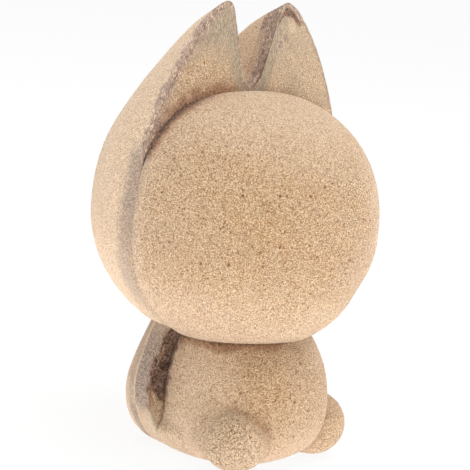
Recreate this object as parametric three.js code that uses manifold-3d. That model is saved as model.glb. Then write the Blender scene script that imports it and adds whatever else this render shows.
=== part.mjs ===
// Cat figurine shaped from wood-fibre board: a cat-outlined centre board with rounded blocks glued
// to its front and back, held in line by hidden dowels.
// Millimetres, +Z up, the cat faces -Y and its left side is +X. It stands on Z = 0, with X = 0 and
// Y = 0 at the middle of its width and depth.
import * as THREE from "three";
import { mergeVertices } from "three/addons/utils/BufferGeometryUtils.js";
import Module from "manifold-3d";

// Head: a ball split by the centre board, seen from the front as a soft-cornered oval
const HEAD_CENTRE_HEIGHT = 62.7;
const HEAD_HALF_WIDTH = 37.2;
const HEAD_HALF_HEIGHT = 35.3;
const CROWN_FULLNESS = 2.61;
const CHIN_FULLNESS = 1.92;
const FACE_DEPTH = 41.2;
const FACE_FULLNESS = 1.82;
const NAPE_DEPTH = 38;
const NAPE_FULLNESS = 1.87;

// Centre board and the ears cut in its outline
const BOARD_THICKNESS = 6.4;
const EAR_HEIGHT = 24.4;
const EAR_TIP_OFFSET = 11.1;
const EAR_TIP_WIDTH = 2.8;
const EAR_VALLEY_WIDTH = 7;
const EAR_BULGE_OFFSET = 32.3;
const EAR_BULGE_RISE = 5.4;
const EAR_ROOT_ANGLE = 17.3;
const EAR_FADE_DEPTH = 46.2;

// Haunches: the board's lower outline, and the block behind it
const BASE_HALF_WIDTH = 18.4;
const HAUNCH_HALF_WIDTH = 26.5;
const HAUNCH_HEIGHT = 17.5;
const HAUNCH_LOWER_PULL = 11;
const HAUNCH_UPPER_PULL = 4.5;
const NECK_HALF_WIDTH = 20.8;
const NECK_TUCK = 2;
const RUMP_DEPTH = 19;
const NECK_DEPTH = 8.5;
const RUMP_FULLNESS = 2.4;
const RUMP_CREST_FULLNESS = 3.4;
const RUMP_TAPER = 1.4;

// Belly: half an egg in front of the board, fuller at its lower sides than at its lower front
const BELLY_HALF_WIDTH = 21.2;
const BELLY_DEPTH = 33.3;
const BELLY_CENTRE_HEIGHT = 15.1;
const BELLY_RISE = 29;
const BELLY_SINK = 4.5;
const BELLY_PLAN_FULLNESS = 2.3;
const BELLY_FRONT_FULLNESS = 2.15;
const BELLY_LOWER_SIDE_FULLNESS = 3.5;

// Feet: two balls seated on the belly's front corners
const FOOT_HALF_WIDTH = 9;
const FOOT_HALF_DEPTH = 8.9;
const FOOT_HALF_HEIGHT = 8.6;
const FOOT_FLAT = 0.3;
const FOOT_ANGLE = 44;
const FOOT_INSET = 1.4;

// Dowels across the centre board, and one peg in each foot
const DOWEL_DIAMETER = 6;
const DOWEL_REACH = 12;
const HEAD_DOWEL_SPACING = 34;
const BODY_DOWEL_SPACING = 18;
const BODY_DOWEL_HEIGHT = 14;
const PEG_DIAMETER = 4;
const PEG_REACH_IN_BELLY = 7;
const PEG_REACH_IN_FOOT = 4;

// Clearance between pieces that are cut to fit each other
const SEAT_GAP = 0.3;

// Smoothness of the round surfaces
const OVAL_STEPS = 14;
const EAR_CURVE_STEPS = 7;
const EAR_EDGE_STEPS = 4;
const DOME_STEPS = 10;
const HAUNCH_CURVE_STEPS = 6;
const BALL_STEPS = 28;
const DOWEL_SIDES = 16;

const CROWN_HEIGHT = HEAD_CENTRE_HEIGHT + HEAD_HALF_HEIGHT;
const EAR_TIP_HEIGHT = CROWN_HEIGHT + EAR_HEIGHT;
const FIGURE_DEPTH = FACE_DEPTH + BOARD_THICKNESS + NAPE_DEPTH;
const QUARTER_TURN = Math.PI / 2;

const wasm = await Module();
wasm.setup();

function toSolid(geometry) {
  const bare = geometry.clone();
  bare.deleteAttribute("normal");
  bare.deleteAttribute("uv");
  const merged = mergeVertices(bare);
  return new wasm.Manifold(
    new wasm.Mesh({
      numProp: 3,
      vertProperties: new Float32Array(merged.attributes.position.array),
      triVerts: new Uint32Array(merged.index.array),
    }),
  );
}

function toGeometry(solid) {
  const mesh = solid.getMesh();
  const geometry = new THREE.BufferGeometry();
  geometry.setAttribute("position", new THREE.BufferAttribute(mesh.vertProperties, 3));
  geometry.setIndex(new THREE.BufferAttribute(mesh.triVerts, 1));
  geometry.computeVertexNormals();
  return geometry;
}

// Closed skin over rings of equal count that follow each other along +Y, each running from +X
// towards +Z, with a fan from a hub point at either end
function loft(firstHub, rings, lastHub) {
  const count = rings[0].length;
  const points = [...rings.flat(), firstHub, lastHub];
  const first = points.length - 2;
  const last = points.length - 1;
  const lastRing = (rings.length - 1) * count;
  const faces = [];
  for (let i = 0; i < count; i++) {
    const next = (i + 1) % count;
    faces.push(first, i, next);
    faces.push(last, lastRing + next, lastRing + i);
    for (let start = 0; start < lastRing; start += count) {
      const after = start + count;
      faces.push(start + i, after + i, start + next);
      faces.push(start + next, after + i, after + next);
    }
  }
  const geometry = new THREE.BufferGeometry().setFromPoints(points);
  geometry.setIndex(faces);
  return geometry;
}

// Point of the head's oval, relative to its centre, in the direction of an angle from +X
function ovalPoint(angle, grow = 0) {
  const across = Math.cos(angle);
  const rise = Math.sin(angle);
  const power = rise > 0 ? CROWN_FULLNESS : CHIN_FULLNESS;
  const wide = Math.abs(across / (HEAD_HALF_WIDTH + grow)) ** power;
  const high = Math.abs(rise / (HEAD_HALF_HEIGHT + grow)) ** power;
  const radius = (wide + high) ** (-1 / power);
  return new THREE.Vector2(radius * across, radius * rise);
}

// The right half of an outline, from its bottom to its top, carried on down the left side
function mirrored(half) {
  const inner = half.slice(1, -1).reverse();
  return [...half, ...inner.map((p) => new THREE.Vector2(-p.x, p.y))];
}

function headOval(grow) {
  const half = [];
  for (let i = 0; i <= 2 * OVAL_STEPS; i++) {
    half.push(ovalPoint(-QUARTER_TURN + (i / OVAL_STEPS) * QUARTER_TURN, grow));
  }
  return mirrored(half);
}

// Head outline with both ears, relative to the head's centre
function earedOutline() {
  const rootAngle = THREE.MathUtils.degToRad(EAR_ROOT_ANGLE);
  const tipRise = EAR_TIP_HEIGHT - HEAD_CENTRE_HEIGHT;
  const tipOuter = new THREE.Vector2(EAR_TIP_OFFSET + EAR_TIP_WIDTH / 2, tipRise);
  const tipInner = new THREE.Vector2(EAR_TIP_OFFSET - EAR_TIP_WIDTH / 2, tipRise);
  const bulge = new THREE.Vector2(EAR_BULGE_OFFSET, HEAD_HALF_HEIGHT + EAR_BULGE_RISE);
  const valley = new THREE.Vector2(EAR_VALLEY_WIDTH / 2, HEAD_HALF_HEIGHT);
  const half = [];
  for (let i = 0; i < OVAL_STEPS; i++) {
    half.push(ovalPoint(-QUARTER_TURN + (i / OVAL_STEPS) * (rootAngle + QUARTER_TURN)));
  }
  const outerEdge = new THREE.QuadraticBezierCurve(ovalPoint(rootAngle), bulge, tipOuter);
  half.push(...outerEdge.getPoints(EAR_CURVE_STEPS));
  half.push(...new THREE.LineCurve(tipInner, valley).getPoints(EAR_EDGE_STEPS));
  half.push(new THREE.Vector2(0, HEAD_HALF_HEIGHT));
  return mirrored(half);
}

const EARED_OUTLINE = earedOutline();

// The eared outline at a depth behind the board's front, where the ears sink back into the ball
function fadedOutline(depth) {
  const share = Math.max(0, 1 - depth / EAR_FADE_DEPTH);
  return EARED_OUTLINE.map((p) => ovalPoint(Math.atan2(p.y, p.x)).lerp(p, share));
}

function headRing(outline, depth, scale = 1) {
  return outline.map((p) => new THREE.Vector3(p.x * scale, depth, HEAD_CENTRE_HEIGHT + p.y * scale));
}

function headHub(depth) {
  return new THREE.Vector3(0, depth, HEAD_CENTRE_HEIGHT);
}

// Rings of a dome from its rim to just short of its tip: share of the depth, and scale of the rim
function domeSteps(fullness) {
  const steps = [];
  for (let i = 0; i < DOME_STEPS; i++) {
    const angle = (i / DOME_STEPS) * QUARTER_TURN;
    steps.push({ share: Math.sin(angle) ** (2 / fullness), scale: Math.cos(angle) ** (2 / fullness) });
  }
  return steps;
}

function faceRings(grow = 0) {
  const steps = domeSteps(FACE_FULLNESS).reverse();
  return steps.map((step) => headRing(headOval(grow), -(FACE_DEPTH + grow) * step.share, step.scale));
}

function faceDome() {
  return loft(headHub(-FACE_DEPTH), faceRings(), headHub(0));
}

function headBack() {
  const rings = domeSteps(NAPE_FULLNESS).map((step) => {
    const depth = BOARD_THICKNESS + NAPE_DEPTH * step.share;
    return headRing(fadedOutline(depth), depth, step.scale);
  });
  return loft(headHub(BOARD_THICKNESS), rings, headHub(BOARD_THICKNESS + NAPE_DEPTH));
}

// The whole ball without ears, grown by the seat gap, which hollows the pieces under the head
function headCutter() {
  const napeRings = domeSteps(NAPE_FULLNESS).map((step) => {
    const depth = BOARD_THICKNESS + (NAPE_DEPTH + SEAT_GAP) * step.share;
    return headRing(headOval(SEAT_GAP), depth, step.scale);
  });
  const rings = [...faceRings(SEAT_GAP), ...napeRings];
  const nose = headHub(-FACE_DEPTH - SEAT_GAP);
  return toSolid(loft(nose, rings, headHub(BOARD_THICKNESS + NAPE_DEPTH + SEAT_GAP)));
}

// Outline of the haunches from the floor up to where they run in behind the cheeks
function haunchOutline() {
  const neckAngle = -Math.acos(NECK_HALF_WIDTH / HEAD_HALF_WIDTH);
  const neckHeight = HEAD_CENTRE_HEIGHT + ovalPoint(neckAngle).y + NECK_TUCK;
  const foot = new THREE.Vector2(BASE_HALF_WIDTH, 0);
  const hip = new THREE.Vector2(HAUNCH_HALF_WIDTH, HAUNCH_HEIGHT);
  const neck = new THREE.Vector2(NECK_HALF_WIDTH, neckHeight);
  const lowerPull = new THREE.Vector2(HAUNCH_HALF_WIDTH, HAUNCH_HEIGHT - HAUNCH_LOWER_PULL);
  const upperPull = new THREE.Vector2(HAUNCH_HALF_WIDTH, HAUNCH_HEIGHT + HAUNCH_UPPER_PULL);
  const lower = new THREE.QuadraticBezierCurve(foot, lowerPull, hip).getPoints(HAUNCH_CURVE_STEPS);
  const upper = new THREE.QuadraticBezierCurve(hip, upperPull, neck).getPoints(HAUNCH_CURVE_STEPS);
  const half = [new THREE.Vector2(0, 0), ...lower, ...upper.slice(1), new THREE.Vector2(0, neckHeight)];
  return mirrored(half);
}

// Superellipse: how wide it still is at a share of its height
function girth(drop, fullness) {
  return (1 - drop ** fullness) ** (1 / fullness);
}

// The haunches' outline as a ring of the block behind the board, which is deepest at the floor
function haunchRing(share) {
  const outline = haunchOutline();
  const top = Math.max(...outline.map((p) => p.y));
  return outline.map((p) => {
    const height = p.y * girth(share, RUMP_CREST_FULLNESS);
    const depth = THREE.MathUtils.lerp(RUMP_DEPTH, NECK_DEPTH, (height / top) ** RUMP_TAPER);
    return new THREE.Vector3(p.x * girth(share, RUMP_FULLNESS), BOARD_THICKNESS + depth * share, height);
  });
}

// Point inside a ring, at the middle of its lowest and highest points
function ringHub(ring) {
  const ends = [ring[0], ring[ring.length / 2]];
  return new THREE.Vector3().lerpVectors(...ends, 0.5);
}

function centreBoard() {
  const headRings = [0, BOARD_THICKNESS].map((depth) => headRing(fadedOutline(depth), depth));
  const head = toSolid(loft(headHub(0), headRings, headHub(BOARD_THICKNESS)));
  const back = haunchRing(0);
  const front = back.map((p) => new THREE.Vector3(p.x, 0, p.z));
  return head.add(toSolid(loft(ringHub(front), [front, back], ringHub(back))));
}

function bodyBack() {
  const rings = domeSteps(RUMP_FULLNESS).map((step) => haunchRing(step.share));
  return toSolid(loft(ringHub(rings[0]), rings, ringHub(rings.at(-1)))).subtract(headCutter());
}

// How far the belly's egg reaches above or below its centre
function bellyReach(upward) {
  return upward ? BELLY_RISE : BELLY_CENTRE_HEIGHT + BELLY_SINK;
}

// The egg's half width and depth at a share of that reach
function bellySection(drop, upward, grow = 0) {
  const sideFullness = upward ? BELLY_FRONT_FULLNESS : BELLY_LOWER_SIDE_FULLNESS;
  const wide = (BELLY_HALF_WIDTH + grow) * girth(drop, sideFullness);
  const deep = (BELLY_DEPTH + grow) * girth(drop, BELLY_FRONT_FULLNESS);
  return { wide, deep };
}

// Point of a section's outline at a turn from +X towards -Y
function sectionPoint({ wide, deep }, turn) {
  const power = 2 / BELLY_PLAN_FULLNESS;
  const across = Math.cos(turn);
  const forward = Math.sin(turn);
  const x = wide * Math.sign(across) * Math.abs(across) ** power;
  const y = -deep * Math.sign(forward) * Math.abs(forward) ** power;
  return { x, y };
}

function bellyEgg(grow = 0) {
  const egg = new THREE.SphereGeometry(1, BALL_STEPS, BALL_STEPS / 2).rotateX(QUARTER_TURN);
  const position = egg.attributes.position;
  const point = new THREE.Vector3();
  for (let i = 0; i < position.count; i++) {
    point.fromBufferAttribute(position, i);
    const upward = point.z > 0;
    const drop = Math.min(1, Math.abs(point.z) ** (2 / BELLY_FRONT_FULLNESS));
    const { x, y } = sectionPoint(bellySection(drop, upward, grow), Math.atan2(-point.y, point.x));
    const rise = Math.sign(point.z) * drop * (bellyReach(upward) + grow);
    position.setXYZ(i, x, y, BELLY_CENTRE_HEIGHT + rise);
  }
  return toSolid(egg);
}

// Everything in front of the board and above the floor, as a block larger than the figure
function frontSpace() {
  const size = 2 * (FIGURE_DEPTH + EAR_TIP_HEIGHT);
  return toSolid(new THREE.BoxGeometry(size, size, size).translate(0, -size / 2, size / 2));
}

function belly() {
  return bellyEgg().intersect(frontSpace()).subtract(headCutter());
}

// Centre of a foot on the belly's front corner, and the way out of the belly there
function footSeat(side) {
  const height = FOOT_HALF_HEIGHT - FOOT_FLAT;
  const upward = height > BELLY_CENTRE_HEIGHT;
  const section = bellySection(Math.abs(height - BELLY_CENTRE_HEIGHT) / bellyReach(upward), upward);
  const { x, y } = sectionPoint(section, THREE.MathUtils.degToRad(FOOT_ANGLE));
  const steep = BELLY_PLAN_FULLNESS - 1;
  const slopeX = (x / section.wide) ** steep / section.wide;
  const slopeY = (-y / section.deep) ** steep / section.deep;
  const outward = new THREE.Vector3(side * slopeX, -slopeY, 0).normalize();
  const centre = new THREE.Vector3(side * x, y, height).addScaledVector(outward, -FOOT_INSET);
  return { centre, outward };
}

function foot(side) {
  const { centre } = footSeat(side);
  const round = new THREE.SphereGeometry(1, BALL_STEPS, BALL_STEPS / 2).rotateX(QUARTER_TURN);
  round.scale(FOOT_HALF_WIDTH, FOOT_HALF_DEPTH, FOOT_HALF_HEIGHT);
  round.translate(centre.x, centre.y, centre.z);
  return toSolid(round).intersect(frontSpace()).subtract(bellyEgg(SEAT_GAP));
}

// Dowel along Y through the centre board; with clearance it is the hole that the dowel sits in
function dowel(across, height, clearance = 0) {
  const length = BOARD_THICKNESS + 2 * (DOWEL_REACH + clearance);
  const radius = DOWEL_DIAMETER / 2 + clearance;
  const round = new THREE.CylinderGeometry(radius, radius, length, DOWEL_SIDES);
  return round.translate(across, BOARD_THICKNESS / 2, height);
}

// Peg from the belly into a foot; with clearance it is the hole that the peg sits in
function peg(side, clearance = 0) {
  const { centre, outward } = footSeat(side);
  const radius = PEG_DIAMETER / 2 + clearance;
  const length = PEG_REACH_IN_BELLY + PEG_REACH_IN_FOOT + 2 * clearance;
  const middle = centre.addScaledVector(outward, (PEG_REACH_IN_FOOT - PEG_REACH_IN_BELLY) / 2);
  const round = new THREE.CylinderGeometry(radius, radius, length, DOWEL_SIDES);
  round.rotateZ(Math.atan2(outward.y, outward.x) - QUARTER_TURN);
  return round.translate(middle.x, middle.y, middle.z);
}

const SIDES = [
  { name: "left", sign: 1 },
  { name: "right", sign: -1 },
];

const DOWEL_ROWS = [
  { name: "head_dowel", spacing: HEAD_DOWEL_SPACING, height: HEAD_CENTRE_HEIGHT },
  { name: "body_dowel", spacing: BODY_DOWEL_SPACING, height: BODY_DOWEL_HEIGHT },
];

function drilled(solid) {
  let piece = solid;
  for (const { sign } of SIDES) {
    for (const row of DOWEL_ROWS) {
      piece = piece.subtract(toSolid(dowel((sign * row.spacing) / 2, row.height, SEAT_GAP)));
    }
    piece = piece.subtract(toSolid(peg(sign, SEAT_GAP)));
  }
  return piece;
}

const faceFibre = new THREE.MeshStandardMaterial({ color: 0xcda57a, roughness: 0.92, metalness: 0 });
const backFibre = new THREE.MeshStandardMaterial({ color: 0xc9a680, roughness: 0.9, metalness: 0 });
const boardFibre = new THREE.MeshStandardMaterial({ color: 0xa08a76, roughness: 0.95, metalness: 0 });
const footFibre = new THREE.MeshStandardMaterial({ color: 0xc39a6c, roughness: 0.97, metalness: 0 });
const dowelWood = new THREE.MeshStandardMaterial({ color: 0xd9bd8e, roughness: 0.8, metalness: 0 });

const figure = new THREE.Group();
const pieces = new THREE.Group();
pieces.position.y = FIGURE_DEPTH / 2 - BOARD_THICKNESS - NAPE_DEPTH;
figure.add(pieces);

function addPiece(name, geometry, material) {
  const mesh = new THREE.Mesh(geometry, material);
  mesh.name = name;
  pieces.add(mesh);
}

addPiece("centre_board", toGeometry(drilled(centreBoard())), boardFibre);
addPiece("face_dome", toGeometry(drilled(toSolid(faceDome()))), faceFibre);
addPiece("head_back", toGeometry(drilled(toSolid(headBack()))), backFibre);
addPiece("belly", toGeometry(drilled(belly())), faceFibre);
addPiece("body_back", toGeometry(drilled(bodyBack())), backFibre);
for (const { name, sign } of SIDES) {
  addPiece(`${name}_foot`, toGeometry(drilled(foot(sign))), footFibre);
  addPiece(`${name}_foot_peg`, peg(sign), dowelWood);
  for (const row of DOWEL_ROWS) {
    addPiece(`${name}_${row.name}`, dowel((sign * row.spacing) / 2, row.height), dowelWood);
  }
}

export default figure;
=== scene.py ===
"""Unpainted cat figurine of wood-fibre board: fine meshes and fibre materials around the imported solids.

Lengths in the mesh code are millimetres and become metres when a piece is made. +Z is up, the cat faces -Y
and its left side is +X. Depths are counted back from the centre board's front face. The camera stands to the
cat's right, so that side is the near one.
"""
import itertools
import math
from types import SimpleNamespace

import bmesh
import bpy
import numpy as np
from mathutils import Matrix, Vector


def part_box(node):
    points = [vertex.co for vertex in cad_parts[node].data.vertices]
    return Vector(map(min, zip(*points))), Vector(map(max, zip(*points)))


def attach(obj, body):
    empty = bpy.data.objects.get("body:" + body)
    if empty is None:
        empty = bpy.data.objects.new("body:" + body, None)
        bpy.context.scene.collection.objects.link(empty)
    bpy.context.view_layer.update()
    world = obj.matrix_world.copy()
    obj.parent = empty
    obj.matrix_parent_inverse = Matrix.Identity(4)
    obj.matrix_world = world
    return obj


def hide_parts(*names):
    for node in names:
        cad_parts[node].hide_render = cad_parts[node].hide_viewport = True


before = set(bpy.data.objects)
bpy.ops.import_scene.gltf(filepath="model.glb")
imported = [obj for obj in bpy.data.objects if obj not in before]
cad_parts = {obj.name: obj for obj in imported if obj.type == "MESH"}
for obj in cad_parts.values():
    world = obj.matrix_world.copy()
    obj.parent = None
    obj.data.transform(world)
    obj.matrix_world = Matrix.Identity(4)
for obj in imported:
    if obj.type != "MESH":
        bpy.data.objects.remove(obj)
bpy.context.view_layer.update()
MM = 0.001


def node_box(node):
    """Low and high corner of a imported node, in millimetres."""
    low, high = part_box(node)
    return np.array(low) / MM, np.array(high) / MM


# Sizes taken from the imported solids
board_low, board_high = node_box("centre_board")
face_low, face_high = node_box("face_dome")
nape_high = node_box("head_back")[1]
belly_low, belly_high = node_box("belly")
BOARD_FRONT = board_low[1]
BOARD_THICKNESS = board_high[1] - board_low[1]
HEAD_HALF_WIDTH = face_high[0]
HEAD_HALF_HEIGHT = (face_high[2] - face_low[2]) / 2
HEAD_CENTRE_HEIGHT = (face_high[2] + face_low[2]) / 2
FACE_DEPTH = BOARD_FRONT - face_low[1]
NAPE_DEPTH = nape_high[1] - board_high[1]
EAR_TIP_RISE = board_high[2] - HEAD_CENTRE_HEIGHT
BELLY_HALF_WIDTH = belly_high[0]
BELLY_DEPTH = BOARD_FRONT - belly_low[1]
HAUNCH_HALF_WIDTH = node_box("body_back")[1][0]

# Shape of the head and ears. A fullness is the power of a round: 2 is an ellipse, more is squarer
CROWN_FULLNESS = 2.61
CHIN_FULLNESS = 1.92
FACE_FULLNESS = 1.82
FACE_CHIN_FULLNESS = 2.04
FACE_CHIN_START = -0.64
NAPE_FULLNESS = 1.87
EAR_TIP_OFFSET = 11.1
EAR_TIP_WIDTH = 2.8
EAR_TIP_LEAN = 0.4
NOSE_START = 0.91
NOSE_DROP = 3
NOSE_LEAN = 1.1
NOSE_REACH = 2
VALLEY_KNEE_OFFSET = 3.4
VALLEY_KNEE_RISE = 4.3
VALLEY_RISE = 0.9
EAR_BULGE_OFFSET = 32.3
EAR_BULGE_RISE = 5.4
EAR_ROOT_ANGLE = 17.3
EAR_FADE_DEPTH = 46.2

# Rim of the board, and how far its front runs in behind the ball
HEAD_BEVEL = 0.35
HAUNCH_BEVEL = 0.9
BEVEL_SHARE = 0.25
BEVEL_TURNS = 0.35, 0.7, 1.0
FRONT_OVERLAP = 3

# Grey smear on the cheek: its depth, how far that drifts back, and its two half widths
SMEAR_DEPTH = 2.4
SMEAR_DRIFT = 1.8
SMEAR_FULL = 1.0
SMEAR_GONE = 6.0

# Single marks of the board, as (across, up): a pit, a burnt arch, a flake and two torn blots
PIT = 21.7, 23.8
PIT_DEPTH = 1.2
BURNT_ARCH = 10.6, 119.3
TIP_FLAKE = 13, 114.8
TIP_BLOTS = (11, 112.6), (8.9, 110.4)

# Shape of the body
BASE_HALF_WIDTH = 18.4
HAUNCH_HEIGHT = 17.5
HAUNCH_LOWER_PULL = 11
HAUNCH_UPPER_PULL = 4.5
NECK_HALF_WIDTH = 20.8
NECK_TUCK = 2
RUMP_DEPTH = 19
NECK_DEPTH = 8.5
RUMP_FULLNESS = 2.08
RUMP_CREST_FULLNESS = 3.4
RUMP_TAPER = 1.4
BELLY_CENTRE_HEIGHT = 15.1
BELLY_RISE = 29
BELLY_SINK = 4.5
BELLY_PLAN_FULLNESS = 2.3
BELLY_FRONT_FULLNESS = 2.15
BELLY_LOWER_SIDE_FULLNESS = 3.5
BELLY_CLIMB = 1.1
BELLY_SEAT_OVERLAP = 0.3
FLARE_TOP = 9
FLARE_FULL = 4.5
FLARE_LENGTH = 11
FOOT_RADII = np.array([9.3, 9.3, 8.8])
FOOT_HEIGHT = 8.8
FOOT_ANGLE = 43
FOOT_INSET = 2.2
FOOT_FILLET = 1.4
FOOT_SIDE_FILLET = 8
FOOT_TURNS = 2, 84
FOOT_TOP = 24
FOOT_DIP = 0.3
FOOT_SHELL = 1.5

# Rows and columns of the meshes, and steps along the outlines under them
FACE_GRID = 112, 430
NAPE_GRID = 104, 540
RUMP_GRID = 84, 340
BELLY_GRID = 120, 300
BELLY_BACK_COLUMNS = 24
FOOT_GRID = 120, 170
BOARD_COLUMNS = 1120
BOARD_FRONT_ROWS = 58
BOARD_EDGE_ROWS = 20
CURVE_STEPS = 200
ARC_STEPS = 300
NOSE_STEPS = 40
VALLEY_STEPS = 12

# Rounds that settle the ball's underside and the feet's swelling
UNDERSIDE_ROUNDS = 4
SWELL_ROUNDS = 70
SWELL_START = 16.0
SWELL_STEP = 0.8

# Camera: turned to the cat's right, a little above it and tilted
CAMERA_AZIMUTH = -43
CAMERA_ELEVATION = 12.335
CAMERA_ROLL = 5.417
CAMERA_DISTANCE = 415.245
CAMERA_AIM_HEIGHT = 58.095
CAMERA_AIM_OFFSET = -0.653
CAMERA_LENS = 115.89
CAMERA_SENSOR = 36

scene = bpy.context.scene

# Small numeric helpers
TINY = 1e-9
FAR_UP = 1000
SEED_SHIFT = 7.31
SCATTER_X, SCATTER_Y, SCATTER_Z = 73856093, 19349663, 83492791
SCATTER_SEED = 2654435761
SCATTER_AGAIN = 1274126177


def fade(value, start, end):
    """Smooth step, either way round: 0 at start and beyond, 1 at end and beyond."""
    share = np.clip((value - start) / (end - start), 0, 1)
    return share * share * (3 - 2 * share)


def lattice_noise(points, size, seed):
    """Smooth noise from -1 to 1 with features of that size: scattered values at lattice corners, blended."""
    place = points / size + seed * SEED_SHIFT
    cell = np.floor(place).astype(np.int64)
    share = place - cell
    share = share * share * (3 - 2 * share)
    total = np.zeros(len(points))
    for corner in itertools.product((0, 1), repeat=3):
        x, y, z = (cell + corner).T
        mixed = (x * SCATTER_X) ^ (y * SCATTER_Y) ^ (z * SCATTER_Z) ^ (seed * SCATTER_SEED)
        mixed = ((mixed ^ (mixed >> 13)) * SCATTER_AGAIN) & 0x7FFFFFFF
        value = ((mixed ^ (mixed >> 16)) & 0xFFFF) / 32767.5 - 1
        total += value * np.prod(np.where(corner, share, 1 - share), axis=1)
    return total


def rough(points, size, seed):
    """Noise of three octaves, each half as large and half as strong."""
    octaves = range(3)
    total = sum(lattice_noise(points, size / 2 ** i, seed + i) / 2 ** i for i in octaves)
    return total / sum(1 / 2 ** i for i in octaves)


def uneven(points, fine, fine_size, broad, broad_size, seed):
    """Unevenness of a skin, from fine and broad noise of these heights and sizes."""
    return fine * rough(points, fine_size, seed) + broad * lattice_noise(points, broad_size, seed + 1)


def bezier(start, control, end, count):
    """Points along a curve pulled towards one control point."""
    t = np.linspace(0, 1, count)[:, None]
    return (1 - t) ** 2 * np.array(start) + 2 * t * (1 - t) * np.array(control) + t ** 2 * np.array(end)


def resample(line, count):
    """Points at even steps along a line."""
    steps = np.hypot(*np.diff(line, axis=0).T)
    along = np.concatenate([[0], np.cumsum(steps)])
    at = np.linspace(0, along[-1], count)
    return np.stack([np.interp(at, along, line[:, i]) for i in range(2)], axis=1)


def mirrored(line, columns):
    """An outline from its left half, which runs from bottom to top, in even steps."""
    half = resample(line, columns // 2 + 1)
    return np.concatenate([half, half[-2:0:-1] * (-1, 1)])


def girth(drop, fullness):
    """Share of the half width that a round has left at a share of its half height."""
    return np.clip(1 - np.abs(drop) ** fullness, 0, 1) ** (1 / fullness)


# Outlines, seen from the front, as (across, up)

def oval_radius(angle):
    """Radius of the ball head's outline at an angle from the cat's left upwards."""
    across, rise = np.cos(angle), np.sin(angle)
    power = np.where(rise > 0, CROWN_FULLNESS, CHIN_FULLNESS)
    wide = np.abs(across / HEAD_HALF_WIDTH) ** power
    high = np.abs(rise / HEAD_HALF_HEIGHT) ** power
    return (wide + high) ** (-1 / power)


def oval(angle):
    return oval_radius(angle)[:, None] * np.stack([np.cos(angle), np.sin(angle)], axis=1)


def ear_inner_edge():
    """Upper and lower end of the left ear's straight inner edge, about the head's centre."""
    top = np.array([EAR_TIP_OFFSET - EAR_TIP_WIDTH / 2 - EAR_TIP_LEAN, EAR_TIP_RISE])
    return top, np.array([VALLEY_KNEE_OFFSET, HEAD_HALF_HEIGHT + VALLEY_KNEE_RISE])


def ear_line():
    """Left ear, from its root on the ball over the rounded tip to the middle of the valley."""
    root = oval(np.radians([EAR_ROOT_ANGLE]))[0]
    outer_tip = (EAR_TIP_OFFSET + EAR_TIP_WIDTH / 2, EAR_TIP_RISE)
    bulge = (EAR_BULGE_OFFSET, HEAD_HALF_HEIGHT + EAR_BULGE_RISE)
    outer = bezier(root, bulge, outer_tip, CURVE_STEPS)[:int(CURVE_STEPS * NOSE_START)]
    top, knee = ear_inner_edge()
    nose_end = top + (knee - top) * NOSE_DROP / np.hypot(*(top - knee))
    nose_pull = (EAR_TIP_OFFSET - NOSE_LEAN, EAR_TIP_RISE + NOSE_REACH)
    nose = bezier(outer[-1], nose_pull, nose_end, NOSE_STEPS)
    valley_floor = HEAD_HALF_HEIGHT + VALLEY_RISE
    valley = bezier(knee, (VALLEY_KNEE_OFFSET / 3, valley_floor), (0, valley_floor), VALLEY_STEPS)
    return np.concatenate([outer, nose[1:], valley])


def haunch_line():
    """Left haunch, from the floor to behind the cheek."""
    neck_angle = np.array([-math.acos(NECK_HALF_WIDTH / HEAD_HALF_WIDTH)])
    neck = (NECK_HALF_WIDTH, HEAD_CENTRE_HEIGHT + oval(neck_angle)[0, 1] + NECK_TUCK)
    hip = (HAUNCH_HALF_WIDTH, HAUNCH_HEIGHT)
    lower_pull = (HAUNCH_HALF_WIDTH, HAUNCH_HEIGHT - HAUNCH_LOWER_PULL)
    upper_pull = (HAUNCH_HALF_WIDTH, HAUNCH_HEIGHT + HAUNCH_UPPER_PULL)
    lower = bezier((BASE_HALF_WIDTH, 0), lower_pull, hip, CURVE_STEPS)
    return np.concatenate([lower, bezier(hip, upper_pull, neck, CURVE_STEPS)[1:]])


def haunch_reach(height):
    """Half width of the body at the board."""
    across, up = haunch_line().T
    return np.interp(height, up, across)


def head_outline(columns):
    """Eared head about its centre."""
    cheek = oval(np.radians(np.linspace(-90, EAR_ROOT_ANGLE, ARC_STEPS)))
    return mirrored(np.concatenate([cheek, ear_line()[1:]]), columns)


def board_outline(columns):
    """The whole cat about the head's centre, and the height where haunch and cheek meet."""
    haunch = haunch_line() - (0, HEAD_CENTRE_HEIGHT)
    outside = np.hypot(*haunch.T) > oval_radius(np.arctan2(haunch[:, 1], haunch[:, 0]))
    haunch = haunch[outside]
    neck_angle = math.atan2(haunch[-1, 1], haunch[-1, 0])
    cheek = oval(np.linspace(neck_angle, math.radians(EAR_ROOT_ANGLE), ARC_STEPS))
    floor_middle = [(0, -HEAD_CENTRE_HEIGHT)]
    line = np.concatenate([floor_middle, haunch, cheek[1:], ear_line()[1:]])
    return mirrored(line, columns), HEAD_CENTRE_HEIGHT + haunch[-1, 1]


def faded(outline, depth):
    """The eared outline at a depth, where the ears sink back into the ball."""
    share = max(0, 1 - depth / EAR_FADE_DEPTH)
    ball = oval(np.arctan2(outline[:, 1], outline[:, 0]))
    return ball + (outline - ball) * share


# Meshes
SHARP_ANGLE = 50
ON_SEAM = 1e-4


def new_object(name, data):
    made = bpy.data.objects.new(name, data)
    scene.collection.objects.link(made)
    return made


def ring(outline, depth):
    """An outline about the head's centre, set upright at a depth."""
    depth = np.broadcast_to(depth, len(outline))
    return np.stack([outline[:, 0], BOARD_FRONT + depth, HEAD_CENTRE_HEIGHT + outline[:, 1]], axis=1)


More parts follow.
